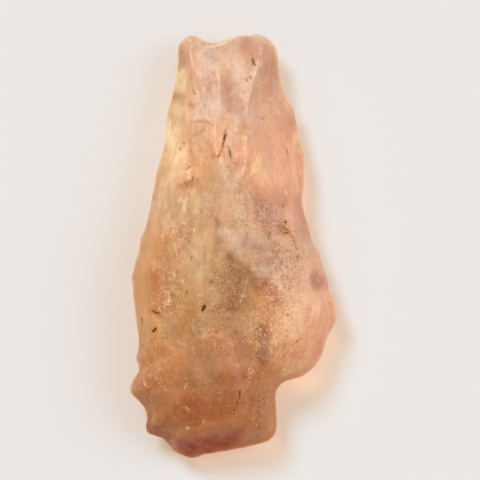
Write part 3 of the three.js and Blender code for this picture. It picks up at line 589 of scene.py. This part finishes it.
        (0.13, 0.8, [(-9.05, -13.75), (-8.9, -14.1)]), (0.06, 0.5, [(-9.4, -14.4)]), (0.06, 0.6, [(-4.65, -13.75), (-4.9, -14.3)]),
        (0.10, 0.6, [(-4.75, -16.2), (-4.6, -16.4)]), (0.06, 0.5, [(-5.1, -16.15)]), (0.08, 0.5, [(-2.95, -17.5), (-3.1, -17.95)]),
        (0.16, 0.65, [(-4.6, -18.35)]), (0.14, 0.6, [(-6.3, -19.85)]), (0.10, 0.5, [(-4.6, -20.7), (-4.5, -21.0)]), (0.07, 0.6, [(-8.3, -12.0)]),
        (0.12, 0.45, [(5.1, -12.4), (5.8, -12.7), (5.0, -13.1)]), (0.10, 0.8, [(8.6, -3.4)]), (0.07, 0.6, [(9.35, -4.6)]),
        (0.05, 0.35, [(5.6, -5.9), (6.4, -5.75), (7.1, -6.1)]), (0.04, 0.4, [(9.3, -8.4), (9.9, -8.45)]),
        (0.05, 0.25, [(-8.5, -2.9), (-8.4, -4.5), (-8.15, -6.0)]), (0.10, 0.5, [(5.0, -1.9), (5.15, -2.3)]),
        (0.05, 0.4, [(5.4, 3.4), (5.4, 2.8)]), (0.06, 0.5, [(7.0, -3.4), (7.5, -3.1)]),
    ],
}


# strength * exp(-(distance / reach)^crispness), the strongest of the paths
def tintShare(x, y, paths, crispness):
    return np.max([strength * np.exp(-(pathDistance(x, y, path) / reach) ** crispness)
                   for strength, reach, path in paths], axis=0)


# Signed distance beside the nearest path, distance past its end and its half width; the gap to it; its strength.
def markPlace(x, y, z, rows):
    nearest, depth, place = np.full(len(x), 1.0), np.zeros(len(x)), np.ones((len(x), 3))
    for half, strength, path in rows:
        for a, b in zip(path, path[1:] or path):
            length = math.hypot(b[0] - a[0], b[1] - a[1])
            ex, ey = ((b[0] - a[0]) / length, (b[1] - a[1]) / length) if length else (1.0, 0.0)
            along, beside = (x - a[0]) * ex + (y - a[1]) * ey, (y - a[1]) * ex - (x - a[0]) * ey
            past = along - np.clip(along, 0, length)
            gap = np.where(z > stone["facesPart"], np.hypot(beside, past) - half, 1.0)
            closer = gap < nearest
            nearest = np.where(closer, gap, nearest)
            depth = np.where(closer, strength, depth)
            place = np.where(closer[:, None], np.stack([beside, past, np.full(len(x), half)], axis=1), place)
    return place, nearest, depth


across, along = moved(points[:, 0], points[:, 1], stone["wander"])
addAttribute(glassStone, "rimDistance", reach)
for name, paths in tints.items():
    addAttribute(glassStone, name, tintShare(across, along, paths, crispness.get(name, 2)))
for name, rows in marks.items():
    place, nearest, depth = markPlace(*points.T, rows)
    addAttribute(glassStone, name, place)
    addAttribute(glassStone, name + "Gap", nearest)
    addAttribute(glassStone, name + "Depth", depth)
across, along = moved(points[:, 0], points[:, 1], stone["tremble"])
addAttribute(glassStone, "recess", scars(across, along) / stone["scars"][0][5])
print("tints, flecks and chips placed")

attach(glassStone, "root")
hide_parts(stone["node"])


# Red, green and blue as seen on a screen, 0 to 255, made linear.
def tone(*seen):
    return (*(float(((v / 255 + 0.055) / 1.055) ** 2.4) for v in seen), 1.0)


finish = {
    "roughness": 0.52,
    "polished": 0.38,              # roughness where wind has smoothed the glass
    "transmission": 0.45,
    "ior": 1.46,
    "specular": 0.26,
    "glow": 0.0016,                # how far light spreads inside, in metres
    "glowTone": (1.0, 0.7, 0.45),
    "absorb": tone(252, 218, 164),
    "absorbDensity": 85.0,
    "shadowLight": 0.78,           # share of light that comes through to the floor
    "shadowTone": tone(255, 236, 210),
    "body": tone(237, 201, 157),
    # Some of these tones also stand for painted light and shade: a pink glow along the right side, the lit left bevel,
    # shaded scoops and hollows, and the shaded bottom bevel.
    "tintTones": {
        "veil": tone(227, 209, 197), "roseAndGlow": tone(240, 188, 164), "strawAndLitBevel": tone(255, 246, 204),
        "ochre": tone(223, 175, 105), "mauveAndShade": tone(196, 144, 124), "honey": tone(174, 113, 50),
        "umberAndShade": tone(164, 64, 2), "sand": tone(206, 154, 96), "blush": tone(255, 216, 182),
    },
    "milkTone": tone(238, 216, 196),
    "recessTone": tone(222, 193, 154),
    "rimHighlightTone": tone(255, 230, 206),
    "fleckTone": tone(82, 36, 12),
    "pitRoughness": 0.9,
    "stainTone": tone(194, 136, 64),
    "chipsAndGlintsTone": tone(255, 244, 214),
    "gritTone": tone(252, 226, 192),
}


# Chains shader nodes briefly: inputs are values, or sockets to link.
def nodeMaker(tree):
    def make(kind, inputs=None, **settings):
        node = tree.nodes.new("ShaderNode" + kind)
        for name, value in settings.items():
            setattr(node, name, value)
        for socket, value in (inputs or {}).items():
            if isinstance(value, bpy.types.NodeSocket):
                tree.links.new(value, node.inputs[socket])
            else:
                node.inputs[socket].default_value = value
        return node
    return make


# Scattered grains: 1 within a grain's radius of a cell's point, for the given share of the cells.
def scatteredGrains():
    tree = bpy.data.node_groups.new("scatteredGrains", "ShaderNodeTree")
    for name, kind in (("Place", "NodeSocketVector"), ("Cells", "NodeSocketFloat"),
                       ("Share", "NodeSocketFloat"), ("Radius", "NodeSocketFloat")):
        tree.interface.new_socket(name, in_out="INPUT", socket_type=kind)
    tree.interface.new_socket("Mask", in_out="OUTPUT", socket_type="NodeSocketFloat")
    make = nodeMaker(tree)
    given = tree.nodes.new("NodeGroupInput").outputs
    cells = make("TexVoronoi", {"Vector": given["Place"], "Scale": given["Cells"]}, feature="F1")
    draw = make("SeparateColor", {0: cells.outputs["Color"]})
    bare = make("Math", {0: 1.0, 1: given["Share"]}, operation="SUBTRACT")
    chosen = make("Math", {0: draw.outputs[0], 1: bare.outputs[0]}, operation="GREATER_THAN")
    radius = make("Math", {0: draw.outputs[1], 1: given["Radius"]}, operation="MULTIPLY")
    inner = make("Math", {0: radius.outputs[0], 1: 0.4}, operation="MULTIPLY")
    grain = make("MapRange", {"Value": cells.outputs["Distance"], "From Min": radius.outputs[0],
                              "From Max": inner.outputs[0]}, interpolation_type="SMOOTHSTEP")
    mask = make("Math", {0: grain.outputs[0], 1: chosen.outputs[0]}, operation="MULTIPLY")
    output = tree.nodes.new("NodeGroupOutput")
    tree.links.new(mask.outputs[0], output.inputs[0])
    return tree


def glassMaterial():
    material = bpy.data.materials.new("frostedDesertGlass")
    material.use_nodes = True
    tree = material.node_tree
    tree.nodes.clear()
    make = nodeMaker(tree)
    place = make("TexCoord").outputs["Object"]
    long = make("Mapping", {"Vector": place, "Scale": (1.0, 0.45, 1.0)}).outputs[0]   # patterns drawn out along the stone

    def noise(size, detail=3.0, vector=place, roughness=0.5):
        return make("TexNoise", {"Vector": vector, "Scale": 1 / (size * mm), "Detail": detail,
                                 "Roughness": roughness}).outputs[0]

    def attribute(name):
        return make("Attribute", attribute_name=name).outputs["Fac"]

    def ranged(value, fromLow, fromHigh, toLow=0.0, toHigh=1.0):
        return make("MapRange", {"Value": value, "From Min": fromLow, "From Max": fromHigh, "To Min": toLow,
                                 "To Max": toHigh}, interpolation_type="SMOOTHSTEP").outputs[0]

    def times(a, b):
        return make("Math", {0: a, 1: b}, operation="MULTIPLY", use_clamp=True).outputs[0]

    def blend(share, under, over, mode="MIX"):
        node = make("Mix", {"Factor": share}, data_type="RGBA", blend_type=mode)
        for socket, value in ((node.inputs[6], under), (node.inputs[7], over)):
            if isinstance(value, bpy.types.NodeSocket):
                tree.links.new(value, socket)
            else:
                socket.default_value = value
        return node.outputs[2]

    def grains(cells, share, radius, vector=place):
        group = make("Group", node_tree=grainGroup)
        for socket, value in (("Place", vector), ("Cells", 1 / (cells * mm)), ("Share", share), ("Radius", radius)):
            if isinstance(value, bpy.types.NodeSocket):
                tree.links.new(value, group.inputs[socket])
            else:
                group.inputs[socket].default_value = value
        return group.outputs[0]

    # Length of (beside, past) less the half width, raggedly; the gap attribute keeps it near its own mark.
    def mark(name, ragged, soft):
        place = make("Attribute", attribute_name=name).outputs["Vector"]
        half = make("SeparateXYZ", {0: place}).outputs[2]
        flat = make("VectorMath", {0: place, 1: (1.0, 1.0, 0.0)}, operation="MULTIPLY")
        length = make("VectorMath", {0: flat.outputs[0]}, operation="LENGTH").outputs["Value"]
        edge = make("Math", {0: half, 1: ragged}, operation="MULTIPLY")
        gap = make("Math", {0: length, 1: edge.outputs[0]}, operation="SUBTRACT").outputs[0]
        near = ranged(attribute(name + "Gap"), 0.34, 0.26)
        depth = times(attribute(name + "Depth"), near)
        return gap, times(ranged(gap, soft, -soft), depth), depth

    broad, cloud, fine = noise(3.2, 4.0, long), noise(0.9, 5.0, long, 0.62), noise(0.15, 3.0, place, 0.6)
    thread = make("Mapping", {"Vector": place, "Scale": (1.0, 0.2, 1.0)}).outputs[0]
    strands = make("Mapping", {"Vector": place, "Rotation": (0.0, 0.0, 0.75), "Scale": (0.3, 1.0, 1.0)}).outputs[0]
    uneven = ranged(cloud, 0.3, 0.7, 0.7, 1.2)
    color = finish["body"]
    for name, tintTone in finish["tintTones"].items():
        color = blend(times(attribute(name), uneven), color, tintTone)
    color = blend(times(attribute("milk"), ranged(noise(0.5, 4.0, strands, 0.65), 0.38, 0.62, 0.35, 1.4)),
                  color, finish["milkTone"])
    color = blend(ranged(attribute("recess"), 0.12, 0.4, 0.0, 0.75), color, finish["recessTone"])
    color = blend(ranged(broad, 0.36, 0.64, 0.0, 0.5), color, blend(1.0, color, tone(236, 224, 212), "MULTIPLY"))
    color = blend(ranged(cloud, 0.62, 0.36, 0.0, 0.75), color, blend(1.0, color, tone(232, 220, 208), "MULTIPLY"))

    grit = attribute("grit")
    bare = ranged(attribute("umberAndShade"), 0.1, 0.7, 1.0, 0.15)
    speck = ranged(noise(0.19, 2.0, place, 0.8), 0.52, 0.64)
    shade = ranged(noise(0.26, 2.0, make("Mapping", {"Vector": place, "Location": (0.02, 0.0, 0.0)}).outputs[0], 0.8), 0.54, 0.66)
    lumps = ranged(noise(0.55, 3.0, place, 0.7), 0.5, 0.66)
    dapple = ranged(noise(0.75, 4.0, place, 0.65), 0.48, 0.62)
    color = blend(times(dapple, ranged(grit, 0.0, 1.0, 0.06, 0.5)), color, blend(1.0, color, tone(226, 200, 176), "MULTIPLY"))
    color = blend(times(shade, ranged(grit, 0.0, 1.0, 0.14, 0.65)), color,
                  blend(1.0, color, tone(212, 180, 150), "MULTIPLY"))
    color = blend(times(lumps, times(bare, ranged(grit, 0.0, 1.0, 0.05, 0.45))), color, finish["gritTone"])
    color = blend(times(speck, times(bare, ranged(grit, 0.0, 1.0, 0.16, 0.8))), color, finish["gritTone"])
    color = blend(times(grains(0.34, ranged(grit, 0.0, 1.0, 0.03, 0.34), 0.42), 0.6), color, finish["gritTone"])
    streak = noise(0.13, 3.0, thread, 0.6)
    color = blend(ranged(streak, 0.4, 0.62, 0.0, 0.42), color, blend(1.0, color, tone(226, 214, 202), "MULTIPLY"))
    # Uneven breaks in the painted highlight along the rim.
    rimHighlightBreaks = ranged(noise(1.1, 3.0), 0.42, 0.6, 0.12, 0.6)
    # Pale chips and the painted highlights along the crests, broken up by noise.
    chipsAndGlints = mark("chipsAndGlints", ranged(fine, 0.3, 0.7, 0.3, 1.7), 0.06)[1]
    broken = ranged(noise(0.4, 2.0, place, 0.6), 0.4, 0.58, 0.25, 0.95)
    color = blend(times(chipsAndGlints, broken), color, finish["chipsAndGlintsTone"])
    fleckGap, pit, depth = mark("fleck", ranged(fine, 0.3, 0.7, 0.6, 1.4), 0.03)
    halo = times(ranged(fleckGap, 0.26, 0.0), depth)
    color = blend(times(halo, 0.5), color, finish["stainTone"])
    color = blend(times(pit, 0.97), color, finish["fleckTone"])
    color = blend(times(grains(1.1, 0.14, 0.08), 0.5), color, finish["fleckTone"])
    # Painted highlight: a thin pale line just inside the thin edge, where it catches the light.
    rim = times(ranged(attribute("rimDistance"), 0.17, 0.08), ranged(attribute("rimDistance"), 0.0, 0.06))
    color = blend(times(rim, rimHighlightBreaks), color, finish["rimHighlightTone"])

    rough = ranged(cloud, 0.35, 0.65, finish["polished"], finish["roughness"])
    rough = make("Mix", {"Factor": pit, "A": rough, "B": finish["pitRoughness"]}).outputs[0]
    sugar = make("Bump", {"Strength": 0.5, "Distance": 0.04 * mm, "Height": noise(0.16, 3.0, place, 0.7)})
    swell = make("Bump", {"Strength": 0.35, "Distance": 0.10 * mm, "Height": cloud, "Normal": sugar.outputs[0]})

    glass = make("BsdfPrincipled", {
        "Base Color": color, "Roughness": rough, "Transmission Weight": finish["transmission"], "IOR": finish["ior"],
        "Specular IOR Level": finish["specular"],
        "Subsurface Weight": 1.0, "Subsurface Radius": finish["glowTone"], "Subsurface Scale": finish["glow"],
        "Normal": swell.outputs[0]})
    through = make("BsdfTransparent", {"Color": finish["shadowTone"]})
    shadow = make("Math", {0: make("LightPath").outputs["Is Shadow Ray"], 1: finish["shadowLight"]}, operation="MULTIPLY")
    surface = make("MixShader", {0: shadow.outputs[0], 1: glass.outputs[0], 2: through.outputs[0]})
    absorb = make("VolumeAbsorption", {"Color": finish["absorb"], "Density": finish["absorbDensity"]})
    make("OutputMaterial", {"Surface": surface.outputs[0], "Volume": absorb.outputs[0]})
    return material


grainGroup = scatteredGrains()
glassStone.data.materials.append(glassMaterial())
print("finish made")

setting = {
    "floorSize": 6.0,
    "floorColor": tone(204, 202, 199),
    "floorGloss": 0.1,
    "worldColor": (1.0, 0.99, 0.97, 1.0),
    "worldStrength": 0.38,
    "skyColor": (1.0, 0.976, 0.938, 1.0),
    "skyStrength": 0.847,              # the plain backdrop, as the camera sees it
    "lens": 250.0,
    "sensor": 36.0,
    "frameWidth": 48.98 * mm,          # what the picture shows across, in the plane of the stone's edge
    "edgeHeight": 2.9 * mm,
    "look": (0.67 * mm, 0.66 * mm),    # the picture's middle on the stone
    "keyFrom": (-0.16, 0.24, 0.30),    # towards the light
    "keySpread": 19.0,                 # how wide it looks from the stone, in degrees
    "keyPower": 3.0,
    "fillFrom": (0.275, 0.045, 0.22),
    "fillSpread": 40.0,
    "fillPower": 1.6,
}


def makeFloor():
    half = setting["floorSize"] / 2
    corners = np.array([(-half, -half, 0), (half, -half, 0), (half, half, 0), (-half, half, 0)]) / mm
    floor = meshObject("floor", corners, np.array([(0, 1, 2, 3)]))
    plain = bpy.data.materials.new("palePaper")
    plain.use_nodes = True
    shader = plain.node_tree.nodes["Principled BSDF"]
    shader.inputs["Base Color"].default_value = setting["floorColor"]
    shader.inputs["Roughness"].default_value = 1.0
    shader.inputs["Specular IOR Level"].default_value = setting["floorGloss"]
    floor.data.materials.append(plain)


def softLight(name, towards, spread, power):
    light = bpy.data.lights.new(name, "SUN")
    light.angle = math.radians(spread)
    light.energy = power
    lamp = bpy.data.objects.new(name, light)
    lamp.location = towards
    lamp.rotation_mode = "QUATERNION"
    lamp.rotation_quaternion = lamp.location.to_track_quat("Z", "Y")
    bpy.context.scene.collection.objects.link(lamp)


def makeCamera():
    camera = bpy.data.objects.new("camera", bpy.data.cameras.new("camera"))
    camera.data.lens = setting["lens"]
    camera.data.sensor_width = setting["sensor"]
    distance = setting["frameWidth"] * setting["lens"] / setting["sensor"]
    camera.location = (*setting["look"], setting["edgeHeight"] + distance)
    camera.data.clip_start = 0.01
    camera.data.clip_end = 10
    bpy.context.scene.collection.objects.link(camera)
    bpy.context.scene.camera = camera


# Soft light from all round; the camera alone sees it as bright as the floor.
def makeWorld():
    world = bpy.data.worlds.new("studio")
    world.use_nodes = True
    tree = world.node_tree
    tree.nodes.clear()
    make = nodeMaker(tree)
    light = make("Background", {"Color": setting["worldColor"], "Strength": setting["worldStrength"]})
    backdrop = make("Background", {"Color": setting["skyColor"], "Strength": setting["skyStrength"]})
    seen = make("MixShader", {0: make("LightPath").outputs["Is Camera Ray"], 1: light.outputs[0], 2: backdrop.outputs[0]})
    make("OutputWorld", {"Surface": seen.outputs[0]})
    bpy.context.scene.world = world


makeFloor()
softLight("keyLight", setting["keyFrom"], setting["keySpread"], setting["keyPower"])
softLight("fillLight", setting["fillFrom"], setting["fillSpread"], setting["fillPower"])
makeCamera()
makeWorld()
bpy.context.scene.view_settings.view_transform = "Standard"
print("floor, lights and camera set")
